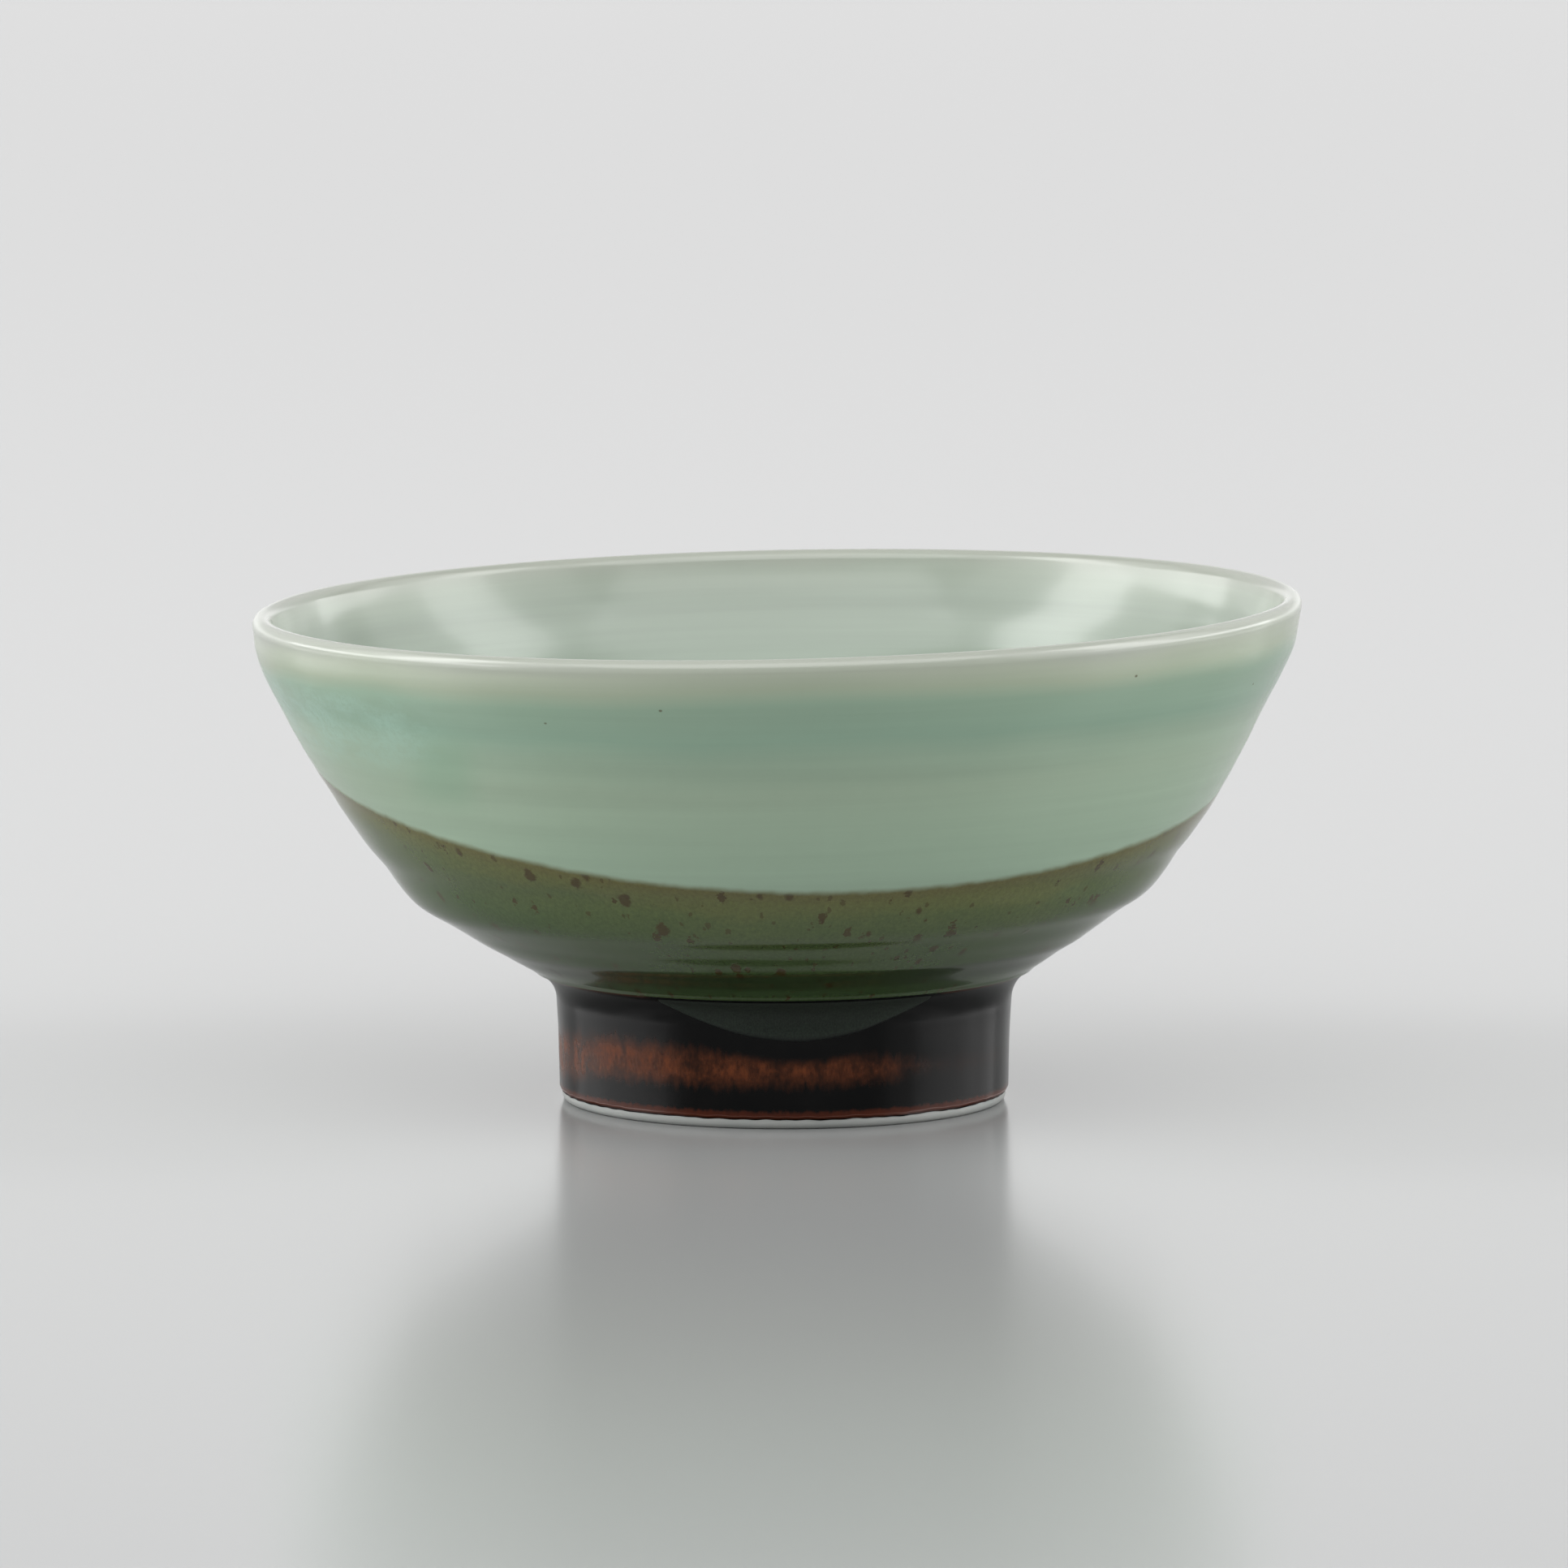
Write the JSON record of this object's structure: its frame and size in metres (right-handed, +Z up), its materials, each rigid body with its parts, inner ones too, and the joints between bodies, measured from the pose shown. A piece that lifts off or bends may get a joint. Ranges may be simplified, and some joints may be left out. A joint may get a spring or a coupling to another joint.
{
  "type": "matcha bowl",
  "caption": "Footed porcelain tea bowl with a flared, slightly leaning wall, celadon glaze over an iron glaze and a dark foot ring with a bare edge.",
  "frame": {"origin": "on the surface the bowl stands on, under the centre of the rim", "axes": "+Z up, +Y to the back of the bowl and -Y to its front, where the celadon has run over the foot, +X to the right seen from the front"},
  "size_m": [0.1292, 0.1292, 0.0629],
  "materials": {
    "porcelain": "matte",
    "bare_porcelain": "matte",
    "inner_celadon": "gloss",
    "lip_celadon": "gloss",
    "outer_celadon": "gloss",
    "celadon_over_iron": "gloss",
    "celadon_run": "gloss",
    "iron_glaze": "gloss",
    "well_glaze": "gloss"
  },
  "bodies": {
    "root": {"bowl_body": "porcelain", "foot_ring": "bare_porcelain", "inner_celadon_glaze": "inner_celadon", "lip_celadon_glaze": "lip_celadon", "outer_celadon_glaze": "outer_celadon", "overlap_glaze": "celadon_over_iron", "foot_celadon_run": "celadon_run", "iron_glaze_coat": "iron_glaze", "foot_well_glaze": "well_glaze"}
  },
  "joints": []
}
